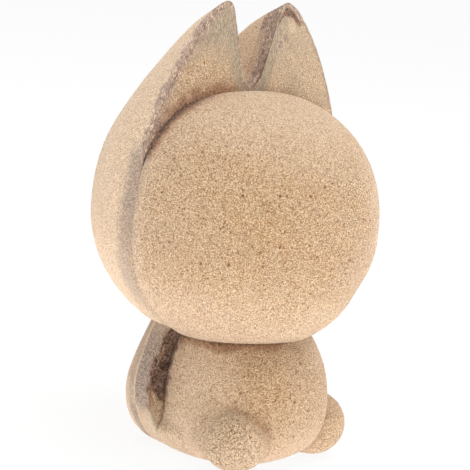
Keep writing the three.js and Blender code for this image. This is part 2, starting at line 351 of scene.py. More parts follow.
def loft(name, rings):
    """Points and mesh of a skin over rings, closed by a fan at each end."""
    rings = np.array(rings)
    rows, columns, _ = rings.shape
    points = np.concatenate([rings.reshape(-1, 3), [rings[0].mean(0), rings[-1].mean(0)]])
    here = np.arange(rows * columns).reshape(rows, columns)
    beside = np.roll(here, -1, axis=1)
    faces = np.stack([here[:-1], beside[:-1], beside[1:], here[1:]], axis=-1).reshape(-1, 4).tolist()
    first = rows * columns
    faces += [(first, b, a) for a, b in zip(here[0].tolist(), beside[0].tolist())]
    faces += [(first + 1, a, b) for a, b in zip(here[-1].tolist(), beside[-1].tolist())]
    return points, build_mesh(name, points, faces)


def closed_sheet(name, front, back):
    """Points and mesh of a closed shell between two grids of the same shape."""
    rows, columns, _ = front.shape
    points = np.concatenate([front.reshape(-1, 3), back.reshape(-1, 3)])
    here = np.arange(rows * columns).reshape(rows, columns)
    quads = np.stack([here[:-1, :-1], here[:-1, 1:], here[1:, 1:], here[1:, :-1]], axis=-1).reshape(-1, 4)
    behind = quads[:, ::-1] + rows * columns
    border = np.concatenate([here[0, :-1], here[:-1, -1], here[-1, :0:-1], here[:0:-1, 0]])
    after = np.roll(border, -1)
    rim = np.stack([after, border, border + rows * columns, after + rows * columns], axis=1)
    return points, build_mesh(name, points, np.concatenate([quads, behind, rim]).tolist())


def build_mesh(name, points, faces):
    mesh = bpy.data.meshes.new(name)
    mesh.from_pydata((points * MM).tolist(), [], faces)
    work = bmesh.new()
    work.from_mesh(mesh)
    bmesh.ops.recalc_face_normals(work, faces=work.faces)
    work.to_mesh(mesh)
    work.free()
    mesh.polygons.foreach_set("use_smooth", [True] * len(mesh.polygons))
    mesh.set_sharp_from_angle(angle=math.radians(SHARP_ANGLE))
    mesh.update()
    return mesh


def vertex_normals(mesh):
    normals = np.zeros(len(mesh.vertices) * 3)
    mesh.vertices.foreach_get("normal", normals)
    return normals.reshape(-1, 3)


def skin_normals(mesh, points, seam):
    """Vertex normals, kept level with the glued face along the rim at the seam's depth."""
    normals = vertex_normals(mesh)
    normals[np.abs(points[:, 1] - BOARD_FRONT - seam) < ON_SEAM, 1] = 0
    return normals / np.maximum(np.linalg.norm(normals, axis=1, keepdims=True), TINY)


def rear_skin(points):
    """Unevenness that the sawn edge of the board shares with the blocks behind it."""
    return uneven(points, fine=0.03, fine_size=1.8, broad=0.05, broad_size=9, seed=21)


def move_along(mesh, points, directions, amount):
    """Move a mesh's points by an amount each, but not below the floor."""
    moved = points + directions * amount[:, None]
    moved[:, 2] = np.maximum(moved[:, 2], 0)
    mesh.vertices.foreach_set("co", (moved * MM).ravel())
    mesh.update()
    return moved


def make_piece(mesh, material, node, marks):
    """A piece in place of a CAD node. Its material reads the marks, which are shares from 0 to 1."""
    for mark, shares in marks.items():
        attribute = mesh.attributes.new(mark, "FLOAT", "POINT")
        attribute.data.foreach_set("value", np.clip(shares, 0, 1).astype(np.float32))
    mesh.materials.append(material)
    piece = new_object(mesh.name, mesh)
    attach(piece, "root")
    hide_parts(node)


# Materials

class Graph:
    """Node graph of a material or a world."""

    # Colour sockets of a Mix node
    MIX_A, MIX_B, MIX_RESULT = 6, 7, 2

    def __init__(self, owner):
        self.owner = owner
        owner.use_nodes = True
        self.tree = owner.node_tree
        self.tree.nodes.clear()
        self.coordinates = self.node("TexCoord")
        self.place = self.coordinates.outputs["Object"]

    def node(self, kind, inputs=None, **settings):
        made = self.tree.nodes.new("ShaderNode" + kind)
        for key, value in settings.items():
            setattr(made, key, value)
        for key, value in (inputs or {}).items():
            if isinstance(value, bpy.types.NodeSocket):
                self.tree.links.new(value, made.inputs[key])
            else:
                made.inputs[key].default_value = value
        return made

    def mark(self, name):
        return self.node("Attribute", attribute_name=name).outputs["Fac"]

    def math(self, operation, a, b=0.0):
        return self.node("Math", {0: a, 1: b}, operation=operation).outputs[0]

    def plus(self, a, b):
        return self.math("ADD", a, b)

    def minus(self, a, b):
        return self.math("SUBTRACT", a, b)

    def times(self, a, b):
        return self.math("MULTIPLY", a, b)

    def vector_math(self, operation, a, b):
        return self.node("VectorMath", {0: a, 1: b}, operation=operation).outputs[0]

    def mix(self, share, a, b):
        inputs = {"Factor": share, self.MIX_A: a, self.MIX_B: b}
        return self.node("Mix", inputs, data_type="RGBA").outputs[self.MIX_RESULT]

    def step(self, value, start, end):
        """As fade, in nodes."""
        inputs = {"Value": value, "From Min": start, "From Max": end}
        return self.node("MapRange", inputs, interpolation_type="SMOOTHSTEP").outputs[0]

    def noise(self, size, detail, seed, distortion=0.0, roughness=0.5, stretch=None):
        place = self.vector_math("MULTIPLY", self.place, stretch) if stretch else self.place
        inputs = {"Vector": place, "W": seed, "Scale": 1 / (size * MM)}
        inputs |= {"Detail": detail, "Roughness": roughness, "Distortion": distortion}
        return self.node("TexNoise", inputs, noise_dimensions="4D").outputs["Fac"]

    def strands(self, size, width, seed):
        """Short curled strands: narrow bands along a noise's middle level, broken by another noise."""
        level = self.noise(size, detail=0.0, seed=seed, distortion=0.8)
        off_middle = self.math("ABSOLUTE", self.minus(level, 0.5))
        band = self.step(off_middle, width, width * 0.3)
        breaks = self.noise(size * 1.3, detail=0.0, seed=seed + 5.0)
        return self.times(band, self.step(breaks, 0.46, 0.58))

    def specks(self, spacing, radius, share, seed):
        """Uneven specks in a share of cells of that spacing."""
        inputs = {"Vector": self.place, "W": seed, "Scale": 1 / (radius * MM)}
        bend = self.node("TexNoise", inputs, noise_dimensions="4D").outputs["Color"]
        reach = 2.5 * radius * MM
        shifted = self.vector_math("ADD", self.place, self.vector_math("MULTIPLY", bend, (reach,) * 3))
        cells = self.node("TexVoronoi", {"Vector": shifted, "Scale": 1 / (spacing * MM)})
        parts = self.node("SeparateColor", {"Color": cells.outputs["Color"]})
        size = self.times(self.plus(parts.outputs[1], 0.5), radius / spacing / 1.5)
        spot = self.step(self.minus(cells.outputs["Distance"], size), 0.03, -0.03)
        return self.times(spot, self.step(parts.outputs[0], 1 - share, 1.001 - share))

    def seen(self):
        """1 for what the camera sees directly, mirrored or through glass."""
        rays = self.node("LightPath")
        share = rays.outputs["Is Camera Ray"]
        for kind in ("Is Glossy Ray", "Is Transmission Ray"):
            share = self.math("MAXIMUM", share, rays.outputs[kind])
        return share

    def finish(self, colour, height, roughness, bump_depth):
        bump = self.node("Bump", {"Height": height, "Strength": 1.0, "Distance": bump_depth * MM})
        inputs = {
            "Base Color": colour,
            "Roughness": roughness,
            "Specular IOR Level": 0.25,
            "Sheen Weight": 0.3,
            "Sheen Roughness": 0.5,
            "Normal": bump.outputs["Normal"],
        }
        shader = self.node("BsdfPrincipled", inputs)
        self.node("OutputMaterial", {"Surface": shader.outputs[0]})
        return self.owner


def srgb(red, green, blue):
    """Linear colour from sRGB values of 0 to 255."""
    values = [c / 255 for c in (red, green, blue)]
    return tuple(c / 12.92 if c <= 0.04045 else ((c + 0.055) / 1.055) ** 2.4 for c in values) + (1,)


# Tones of the blocks, in the warm and the cool clouds of the board
FACE_TONES = srgb(205, 156, 97), srgb(203, 161, 114)
BACK_TONES = srgb(216, 184, 150), srgb(220, 188, 156)
BOARD_TONES = srgb(192, 154, 106), srgb(188, 152, 114)

# Tones of sanding and of painted light, of the open core, which on the near foot is also painted light, and
# of the fibres and specks in them
SANDED_AND_PAINTED_LIGHT_TONE = srgb(236, 205, 172)
CORE_AND_PAINTED_LIGHT_TONE = srgb(244, 198, 142)
DARK_FIBRE = srgb(134, 82, 36)
LIGHT_FIBRE = srgb(243, 218, 182)
DARK_CORE_FIBRE = srgb(122, 69, 26)
LIGHT_CORE_FIBRE = srgb(255, 231, 198)
SPECK_TONE = srgb(122, 54, 2)

# Marks in the order they are laid on: pattern, darkest and lightest tone, raggedness of the border
MARK_TONES = {
    "ash": ("saw", srgb(128, 109, 85), srgb(202, 180, 150), 0.6),
    "grey": ("saw", srgb(114, 94, 80), srgb(198, 172, 150), 0.35),
    # This tone also lays painted shade in the creases round the feet
    "rust_and_crease_shade": ("crumbs", srgb(126, 74, 40), srgb(194, 144, 94), 1.3),
    "torn": ("shreds", srgb(98, 73, 64), srgb(182, 149, 128), 1.3),
    "scorch": ("crumbs", srgb(44, 26, 18), srgb(168, 116, 78), 0.8),
    # This tone also lays a painted highlight along the ridge where the board meets the body's back block
    "pale": ("crumbs", srgb(190, 164, 136), srgb(230, 208, 178), 0.8),
}
FLAKE_TONE = srgb(228, 199, 170)
FIBROUS = 0.65


def fibreboard(name, warm, cool, strength, speck_share):
    """Matt fibreboard. Marks on the mesh coarsen or sand it, or lay other tones on it. Some marks also lay
    painted light on the skin, painted shade in creases and a painted highlight on a ridge.
    """
    g = Graph(bpy.data.materials.new(name))
    coarse_and_painted_light, sanded_and_painted_light = g.mark("coarse_and_painted_light"), g.mark("sanded_and_painted_light")
    clouds = g.noise(4.5, detail=2.0, seed=1.0)
    colour = g.mix(g.step(clouds, 0.36, 0.64), warm, cool)
    colour = g.mix(coarse_and_painted_light, colour, CORE_AND_PAINTED_LIGHT_TONE)
    colour = g.mix(sanded_and_painted_light, colour, SANDED_AND_PAINTED_LIGHT_TONE)

    fibres = fibre_tone(g, coarse_and_painted_light, sanded_and_painted_light, strength)
    dark_fibre = g.mix(coarse_and_painted_light, DARK_FIBRE, DARK_CORE_FIBRE)
    light_fibre = g.mix(coarse_and_painted_light, LIGHT_FIBRE, LIGHT_CORE_FIBRE)
    colour = g.mix(g.times(fibres, -1.0), colour, dark_fibre)
    colour = g.mix(fibres, colour, light_fibre)
    colour = g.mix(dark_specks(g, sanded_and_painted_light, speck_share), colour, SPECK_TONE)

    patterns = mark_patterns(g)
    ragged = g.minus(g.noise(1.1, 4.0, 8.0, 0.5, roughness=FIBROUS), 0.5)
    for mark, (pattern, darkest, lightest, raggedness) in MARK_TONES.items():
        tone = g.mix(patterns[pattern], darkest, lightest)
        if mark == "torn":
            tone = g.mix(patterns["flakes"], tone, FLAKE_TONE)
        colour = laid_on(g, colour, mark, tone, ragged, raggedness)

    height = g.plus(fibres, g.times(patterns["crumbs"], 0.5))
    return g.finish(colour, height, roughness=0.92, bump_depth=0.09)


def fibre_tone(g, coarse_and_painted_light, sanded_and_painted_light, strength):
    """Lightness of the fibres, about 0: fine grain and clumps, with curled strands among them."""
    grain = g.noise(0.17, detail=0.0, seed=2.0)
    clumps = g.noise(0.34, detail=1.0, seed=3.0, distortion=0.5)
    light, dark = g.strands(0.46, 0.085, 4.0), g.strands(0.42, 0.085, 5.0)
    gaps, flecks = g.strands(0.50, 0.10, 6.0), g.strands(0.46, 0.09, 7.0)
    weighted = (
        (5.2, g.minus(grain, 0.5)),
        (0.35, g.minus(clumps, 0.5)),
        (0.3, g.minus(light, dark)),
        (0.75, g.times(coarse_and_painted_light, g.minus(flecks, gaps))),
        (0.1, coarse_and_painted_light),
    )
    tone = 0.0
    for weight, part in weighted:
        tone = g.plus(tone, g.times(part, weight))
    contrast = g.plus(g.times(coarse_and_painted_light, 0.3), 1.0)
    contrast = g.minus(contrast, g.times(sanded_and_painted_light, 0.2))
    return g.times(g.times(tone, contrast), strength)


def dark_specks(g, sanded_and_painted_light, share):
    """Sparse dark specks of two sizes, fainter where sanding or painted light makes the skin lighter."""
    small = g.specks(spacing=1.5, radius=0.31, share=share * 3, seed=0.13)
    large = g.specks(spacing=3.0, radius=0.43, share=share * 4, seed=0.29)
    shown = g.minus(0.95, g.times(sanded_and_painted_light, 0.6))
    return g.times(g.math("MAXIMUM", small, large), shown)


def mark_patterns(g):
    """Patterns of sawn, torn and scorched fibre, from 0 for dark to 1 for light."""
    crumbs = g.noise(0.48, 3.0, 9.0, 0.8, roughness=FIBROUS)
    shreds = g.noise(0.42, 3.0, 12.0, 0.6, stretch=(1, 1, 0.6), roughness=FIBROUS)
    flakes = g.noise(0.8, 3.0, 13.0, 1.6, stretch=(1, 1, 0.55), roughness=FIBROUS)
    along_edge = g.noise(0.21, 1.0, 10.0, stretch=(1, 1, 0.25))
    across_edge = g.noise(0.20, 1.0, 11.0, stretch=(1, 0.25, 1))
    return {
        "crumbs": g.step(crumbs, 0.42, 0.62),
        "shreds": g.step(shreds, 0.36, 0.62),
        "flakes": g.step(flakes, 0.52, 0.60),
        "saw": g.step(g.plus(along_edge, across_edge), 0.78, 1.22),
    }


def laid_on(g, under, mark, tone, ragged, raggedness):
    """A tone laid on where a mesh mark is high, with a border broken up by noise."""
    share = g.mark(mark)
    pushed = g.plus(share, g.times(ragged, raggedness))
    cover = g.times(g.step(pushed, 0.0, 1.0), g.step(share, 0.0, 0.15))
    return g.mix(cover, under, tone)


def dowel_wood():
    """Plain hardwood with its grain along the dowel."""
    g = Graph(bpy.data.materials.new("dowel_wood"))
    rings = g.noise(1.6, 3.0, 1.0, 0.6, stretch=(1, 0.08, 1))
    pores = g.noise(0.35, 2.0, 2.0, stretch=(1, 0.05, 1))
    colour = g.mix(g.step(rings, 0.35, 0.65), srgb(205, 172, 124), srgb(230, 204, 162))
    colour = g.mix(g.step(pores, 0.4, 0.3), colour, srgb(176, 138, 92))
    return g.finish(colour, pores, roughness=0.7, bump_depth=0.05)


# Head

def dome_shares(rows, fullness):
    """Share of the depth and scale of the rim at rows from a dome's rim to just short of its tip."""
    angle = np.linspace(0, math.pi / 2, rows, endpoint=False)
    return np.sin(angle) ** (2 / fullness), np.cos(angle) ** (2 / fullness)


def face_fullness(rise):
    """Fullness of the face dome at a rise from -1 under the chin to 1 at the crown."""
    return FACE_FULLNESS + (FACE_CHIN_FULLNESS - FACE_FULLNESS) * fade(rise, FACE_CHIN_START, -1.0)


def ball_underside(points):
    """Height of the face dome's underside over each point, far up beside the ball."""
    ahead = np.clip((BOARD_FRONT - points[:, 1]) / FACE_DEPTH, 0, 1)
    rise = -1.0
    for _ in range(UNDERSIDE_ROUNDS):
        scale = girth(ahead, face_fullness(rise))
        across = np.abs(points[:, 0]) / np.maximum(HEAD_HALF_WIDTH * scale, TINY)
        drop = HEAD_HALF_HEIGHT * scale * girth(np.minimum(across, 1), CHIN_FULLNESS)
        rise = -drop / np.maximum(np.hypot(points[:, 0], drop), TINY)
    return np.where(across < 1, HEAD_CENTRE_HEIGHT - drop, FAR_UP)


def head_angle(points):
    """Degrees above the head's centre, the same on both sides."""
    return np.degrees(np.arctan2(points[:, 2] - HEAD_CENTRE_HEIGHT, np.abs(points[:, 0])))


def cheek_smear(points):
    """Grey that the saw smeared over the cheek: darkest below the ear, further back lower down."""
    angle = head_angle(points) + 3 * lattice_noise(points, 6, 37)
    deep = points[:, 1] - BOARD_FRONT + lattice_noise(points, 2.5, 24)
    off = np.abs(deep - SMEAR_DEPTH - SMEAR_DRIFT * fade(angle, 6, -24))
    strength = 0.56 + 0.13 * fade(angle, -4, 10)
    above_neck, below_ear = fade(angle, -54, -28), fade(angle, 36, 27)
    return strength * above_neck * below_ear * fade(off, SMEAR_GONE, SMEAR_FULL)


def make_face_dome(material):
    rows, columns = FACE_GRID
    turns = np.linspace(-math.pi / 2, 1.5 * math.pi, columns, endpoint=False)
    outline = oval(turns)
    fullness = face_fullness(np.sin(turns))
    rings = []
    for share in dome_shares(rows, FACE_FULLNESS)[0]:
        scale = girth(share, fullness)
        rings.append(ring(outline * scale[:, None], -FACE_DEPTH * share))
    points, mesh = loft("face_dome_fibre", rings)
    skin = uneven(points, fine=0.05, fine_size=1.6, broad=0.06, broad_size=7, seed=11)
    ahead = BOARD_FRONT - points[:, 1]
    skin = skin * fade(ahead, 0, 2) + rear_skin(points) * fade(ahead, 2, 0)
    points = move_along(mesh, points, skin_normals(mesh, points, 0), skin)

    x, z = points[:, 0], points[:, 2]
    wavy = 0.5 * lattice_noise(points, 3, 13)
    # Painted light: the ball is painted lighter off its front face, on its left side, at the crown and under
    # the chin, where it catches more light; the band by the board's rim is lighter sanding
    painted_light_off_front = 0.25 * fade(ahead, 36, 10)
    rim = 0.7 * fade(ahead + 3 * wavy, 7, 2)
    painted_light_left_cheek = 0.8 * fade(x + 0.3 * ahead, 14, 36)
    crown = 0.7 * fade(z + 2 * wavy, 76, 95)
    chin = 0.52 * fade(z + 2 * wavy, 64, 38)
    crease = fade(head_angle(points), 24, 34) * np.where(x < 0, fade(x, -6, -24), 0.1)
    marks = {
        "coarse_and_painted_light": 0.1 * fade(x - 0.6 * z, -30, -70),
        "sanded_and_painted_light": np.maximum.reduce([painted_light_off_front, rim, painted_light_left_cheek, crown, chin]),
        "grey": cheek_smear(points),
        "rust_and_crease_shade": 0.9 * crease * fade(ahead + wavy, 4.5, 0.6),
        "scorch": 0.95 * crease * fade(ahead + 0.6 * wavy, 1.8, 0.3),
    }
    make_piece(mesh, material, "face_dome", marks)


def make_head_back(material):
    rows, columns = NAPE_GRID
    outline = head_outline(columns)
    rings = []
    for share, scale in zip(*dome_shares(rows, NAPE_FULLNESS)):
        depth = BOARD_THICKNESS + NAPE_DEPTH * share
        rings.append(ring(faded(outline, depth) * scale, depth))
    points, mesh = loft("head_back_fibre", rings)
    points = move_along(mesh, points, skin_normals(mesh, points, BOARD_THICKNESS), rear_skin(points))
    deep = points[:, 1] - BOARD_FRONT
    marks = {"sanded_and_painted_light": 1 - 0.6 * fade(deep, 16, 38), "grey": cheek_smear(points)}
    make_piece(mesh, material, "head_back", marks)


# Centre board

def board_cut():
    """The board's outline, its reach from the head's centre, and how it lies to the ball."""
    cut = SimpleNamespace()
    cut.outline, cut.neck_height = board_outline(BOARD_COLUMNS)
    cut.reach = np.hypot(*cut.outline.T)
    cut.ball = oval_radius(np.arctan2(cut.outline[:, 1], cut.outline[:, 0]))
    cut.stands_out = cut.reach - cut.ball
    cut.on_head = cut.outline[:, 1] + HEAD_CENTRE_HEIGHT > cut.neck_height
    return cut


def board_rings(cut):
    """Rings over the board's front, round its bevelled rim and back along its sawn edge."""
    way = cut.outline / cut.reach[:, None]
    widest = np.where(cut.on_head, HEAD_BEVEL, HAUNCH_BEVEL)
    bevel = np.minimum(widest, BEVEL_SHARE * np.maximum(cut.stands_out, 0))
    inner = cut.ball - FRONT_OVERLAP
    rings = []
    for share in np.linspace(0, 1, BOARD_FRONT_ROWS):
        radius = inner + (cut.reach - bevel - inner) * share
        rings.append(ring(way * radius[:, None], 0.0))
    for share in BEVEL_TURNS:
        turn = share * math.pi / 2
        radius = cut.reach - bevel * (1 - math.sin(turn))
        rings.append(ring(way * radius[:, None], bevel * (1 - math.cos(turn))))
    for depth in np.linspace(0, BOARD_THICKNESS, BOARD_EDGE_ROWS)[1:]:
        deep = bevel + (BOARD_THICKNESS - bevel) * depth / BOARD_THICKNESS
        edge = np.where(cut.on_head[:, None], faded(cut.outline, depth), cut.outline)
        rings.append(ring(edge, deep))
    return rings


def board_places(points, rows, cut):
    """Which face of the board each point is on, and how far it is from the edges."""

    def spread(values):
        """One value per outline column, repeated for every ring and the two hubs."""
        return np.concatenate([np.tile(values, rows), [0, 0]])

    at = SimpleNamespace()
    at.x, at.z = points[:, 0], points[:, 2]
    at.side = np.abs(at.x)
    at.right = at.x < 0
    at.deep = points[:, 1] - BOARD_FRONT
    row = np.concatenate([np.repeat(np.arange(rows), BOARD_COLUMNS), [0, 0]])
    at.front = row < BOARD_FRONT_ROWS
    from_centre = np.hypot(at.x, at.z - HEAD_CENTRE_HEIGHT)
    at.from_rim = spread(cut.reach) - from_centre
    at.above_ball = from_centre - spread(cut.ball)
    at.ear = spread((cut.stands_out > 0.4) & cut.on_head) > 0
    at.haunch = spread(~cut.on_head) > 0

    top, knee = ear_inner_edge()
    edge = top - knee
    rise = at.z - HEAD_CENTRE_HEIGHT - knee[1]
    at.from_inner = ((at.side - knee[0]) * edge[1] - rise * edge[0]) / np.hypot(*edge)
    inside_tip = spread(np.abs(cut.outline[:, 0])) < EAR_TIP_OFFSET + 0.6
    at.inner_wall = at.ear & ~at.front & inside_tip & (at.from_inner < 1.0)
    at.outer_wall = at.ear & ~at.front & ~at.inner_wall
    at.ear_front = at.ear & at.front
    at.haunch_wall = at.haunch & ~at.front
    at.from_haunch = haunch_reach(at.z) - at.side

    at.wavy = lattice_noise(points, 2.5, 31)
    at.wide_wavy = lattice_noise(points, 6, 37)
    at.ragged = rough(points, 2.4, 38)
    return at


def board_relief(points, at, neck_height):
    """Relief of open fibre on the ears, chipped outer rims and the crumbled ledge beside the belly."""
    relief = np.where(at.front, 0.05 * rough(points, 1.2, 33), rear_skin(points))
    relief += np.where(at.ear_front, 0.07 * rough(points, 1.0, 34), 0)
    ear_rim = fade(np.where(at.front, at.from_rim, at.deep), 2.2, 0.2)
    haunch_rim = fade(np.where(at.front, at.from_haunch, at.deep), 2.4, 0.2)
    rim = np.where(at.ear & (at.from_inner > 3), ear_rim, 0)
    rim += np.where(at.haunch & (at.z > 6), haunch_rim, 0)
    chip_depth = np.select([at.haunch, at.right], [0.9, 0.6], 0.15)
    relief -= rim * np.clip(0.15 + rough(points, 1.1, 35), 0, 1) * chip_depth
    ledge = at.haunch & at.front & (at.z < neck_height)
    ledge_depth = fade(at.above_ball, 0.5, 3) * fade(at.z, 6, 11)
    crumbled = 1.3 * rough(points, 2.2, 36) + 0.35 * lattice_noise(points, 0.8, 32) - 0.25
    pit = fade(np.hypot(at.side - PIT[0], at.z - PIT[1]), 2.2, 0.4)
    relief += np.where(ledge, ledge_depth * (crumbled - PIT_DEPTH * pit), 0)
    return relief


def ear_ash(at):
    """Grey on the ear fronts: the inner edges, the near tip, the far rim and far patches."""
    near_edge = fade(at.from_inner + at.wavy, 6, 0.5)
    near_tip = fade(at.z + 2 * at.wavy + 2 * at.wide_wavy, 101, 115)
    far_edge = fade(at.from_inner + 0.5 * at.wavy, 4.4, 2.8)
    far_rim = fade(at.from_rim + 0.3 * at.wavy, 1.3, 0.5)
    far_patches = 0.3 + 0.3 * at.wide_wavy
    near = 0.9 * np.maximum(near_edge, near_tip)
    return np.where(at.right, near, np.maximum(0.9 * np.maximum(far_edge, far_rim), far_patches))


def far_tip(at):
    """Burnt arch below the tip of the left ear, and torn fibre above the arch and in blots under it."""
    off_arch = at.x - BURNT_ARCH[0]
    arch = BURNT_ARCH[1] - np.where(off_arch > 0, 0.13, 0.45) * off_arch ** 2
    near_tip = fade(at.z, 114.5, 117)
    burnt = near_tip * fade(np.abs(at.z - arch) + 0.4 * at.wavy, 1.3, 0.4)
    above = near_tip * fade(at.z - arch + 0.5 * at.wavy, 0.8, 1.6)
    from_blot = np.minimum(*(np.hypot(at.x - across, at.z - up) for across, up in TIP_BLOTS))
    blots = fade(from_blot + 0.6 * at.wavy, 1.6, 0.4)
    torn = np.maximum(0.8 * blots, 0.7 * above)
    return np.where(at.right, 0, burnt), np.where(at.right, 0, torn)


def torn_rims(at, angle):
    """Torn fibre along the ears' outer rims, on their fronts and sawn edge."""
    reach = np.where(at.right, 1, 0.55)
    front = fade(at.from_rim + 1.2 * at.ragged, reach * 3.2, reach * 1.0)
    front = np.maximum(front, 0.45 * reach * fade(at.from_rim + at.wide_wavy, 8, 1.5))
    wall_reach = np.maximum(reach * 2.8, fade(at.z, 106, 119) * 5)
    wall = fade(at.deep + 2.6 * at.ragged + at.wavy, wall_reach, 0.4 * wall_reach)
    return 0.85 * front * reach, 0.8 * wall * fade(angle + 2 * at.wavy, 19, 29)


def ledge_scorch(at):
    """Scorch on the ledge beside the belly, short of its rim, and on the edge behind it."""
    strength = np.where(at.right, 1.0, 0.6) * fade(at.z + 2 * at.ragged, 8.5, 11.5)
    inset = 4.2 * fade(at.z, 20, 11.5) + 1.3 * fade(np.abs(at.z - 27), 3.5, 0.5) + 0.2
    front = strength * fade(at.from_haunch + (0.5 + inset) * 0.5 * at.ragged, inset - 0.9, inset + 0.3)
    wall = strength * fade(at.deep + 1.8 * at.ragged, 2.0, 0.4) * fade(at.z, 13, 19)
    return front, wall


def board_marks(points, at):
    x, z, deep, wavy = at.x, at.z, at.deep, at.wavy
    burnt_tip, torn_tip = far_tip(at)
    torn_front, torn_wall = torn_rims(at, head_angle(points))
    scorched_front, scorched_wall = ledge_scorch(at)

    # Ears: burnt along the crease over the ball, torn and burnt down the inner walls
    burn = np.where(at.right, fade(x, -1, -9), 0.12)
    charred = np.where(at.right, fade(x, -8, -26), 0.1)
    ear_grey = 0.1 * fade(at.above_ball, 3, 0.4)
    ear_rust = np.maximum(0.85 * burn * fade(at.above_ball + 1.5 * wavy, 5, 0.5), 0.1 * burnt_tip)
    ear_scorch = np.maximum(0.95 * charred * fade(at.above_ball + 0.3 * wavy, 1.2, 0.1), 0.95 * burnt_tip)
    torn_inner = 0.85 * np.maximum(fade(deep + 0.8 * wavy, 5.2, 2.6), fade(z + 2 * wavy, 108, 118))
    inner_line = np.where(at.right, 0, 0.75 * fade(deep + 0.4 * wavy, 1.0, 0.3) * fade(z, 114, 106))
    flake = 0.8 * fade(np.hypot(x - TIP_FLAKE[0], z - TIP_FLAKE[1]) + 0.6 * wavy, 1.8, 0.6)

    # Sawn edge: grey on the cheek and the haunch, paler towards its two rims and the floor; low on the
    # haunch the pale line at its rear rim is a painted highlight on the ridge against the body's back block
    cheek_skin = np.where(at.front | at.haunch, 0, 0.25 + 0.75 * fade(deep + wavy, 0.5, 5))
    haunch_grey = 0.95 * fade(z + at.wide_wavy, 7, 13) * (1 - 0.3 * fade(z, 26, 34))
    haunch_rust = 0.6 * fade(deep + 1.8 * at.ragged, 2.2, 0.6) * fade(z, 8, 12)
    ridge_highlight_line = fade(deep + 0.5 * wavy, 5, 6) * fade(z, 13, 10)
    low_wall = np.maximum(fade(z + at.wide_wavy, 12, 8) * fade(deep + wavy, 4.5, 1.5), 0.9 * ridge_highlight_line)
    low_ledge = 0.5 * fade(z, 14, 9) * fade(at.from_haunch, 3, 1)

    # Each face gets its own share, and the last value is for the rest
    ear_walls = [at.ear_front, at.inner_wall]
    sanded_walls = [at.outer_wall, at.haunch_wall | at.inner_wall, at.ear_front & ~at.right]
    scorched_walls = [at.ear_front, at.haunch & at.front, at.haunch, at.inner_wall]
    scorches = [ear_scorch, scorched_front, scorched_wall, inner_line]
    torn = [np.maximum(torn_front, torn_tip), torn_inner, 0]
    return {
        "coarse_and_painted_light": np.where(at.ear_front & at.right, 0.1, 0.0),
        "grey": np.select(ear_walls + [at.haunch_wall], [ear_grey, 0.25, haunch_grey], cheek_smear(points)),
        "ash": np.where(at.ear_front, ear_ash(at), 0),
        "torn": np.select(ear_walls + [at.front | at.haunch], torn, torn_wall),
        "sanded_and_painted_light": np.select(sanded_walls, [1, 0.6, 0.5], cheek_skin),
        "rust_and_crease_shade": np.select([at.ear_front, at.haunch_wall], [ear_rust, haunch_rust], 0),
        "scorch": np.select(scorched_walls, scorches, 0),
        "pale": np.select([at.haunch_wall, at.haunch, at.front], [low_wall, low_ledge, flake], 0),
    }


def make_centre_board(material):
    cut = board_cut()
    rings = board_rings(cut)
    points, mesh = loft("centre_board_fibre", rings)
    at = board_places(points, len(rings), cut)
    relief = board_relief(points, at, cut.neck_height)
    points = move_along(mesh, points, vertex_normals(mesh), relief)
    make_piece(mesh, material, "centre_board", board_marks(points, at))


# Body

def belly_section(height):
    """Half width and depth of the belly at a height."""
    upward = height > BELLY_CENTRE_HEIGHT
    below = BELLY_CENTRE_HEIGHT + BELLY_SINK
    drop = np.clip(np.abs(height - BELLY_CENTRE_HEIGHT) / np.where(upward, BELLY_RISE, below), 0, 1)
    front = girth(drop, BELLY_FRONT_FULLNESS)
    wide = BELLY_HALF_WIDTH * np.where(upward, front, girth(drop, BELLY_LOWER_SIDE_FULLNESS))
    return wide, BELLY_DEPTH * front


def belly_point(turn, height):
    """Point of the belly's skin at a turn from +X towards the front."""
    wide, deep = belly_section(height)
    power = 2 / BELLY_PLAN_FULLNESS
    across, forward = np.cos(turn), np.sin(turn)
    edge = np.abs(across) ** power
    ahead = deep * np.abs(forward) ** power
    flare = np.maximum(haunch_reach(height) - wide, 0)
    flare = flare * fade(height, FLARE_TOP, FLARE_FULL) * fade(ahead, FLARE_LENGTH, 0) * edge
    x = np.sign(across) * (wide * edge + flare)
    return np.stack([x, BOARD_FRONT - ahead, height + 0 * x], axis=-1)


def belly_sanding_and_painted_light(points):
    """Light sanding all over the belly, and painted light that lightens it at the floor, under the chin and
    on the flank beside the ledge.
    """
    x, z = points[:, 0], points[:, 2]
    under = ball_underside(points) - z
    wavy = lattice_noise(points, 3, 43)
    # Painted light: the belly is painted lighter at the floor, under the chin where the ball shades it, and
    # on the flank beside the ledge where it lies in shade; only the base share of 0.15 is sanding
    sanding_and_painted_light_at_floor = 0.15 + 0.45 * fade(z + 2 * wavy, 19, 5)
    painted_light_under_chin = 0.9 * fade(under + 2 * wavy, 16, 4) * fade(x, -4, 8)
    flank = (0.7 + 0.3 * fade(z, 16, 8)) * fade(x + 1.5 * wavy, -12.5, -18.5)
    return np.maximum.reduce([sanding_and_painted_light_at_floor, painted_light_under_chin, flank])


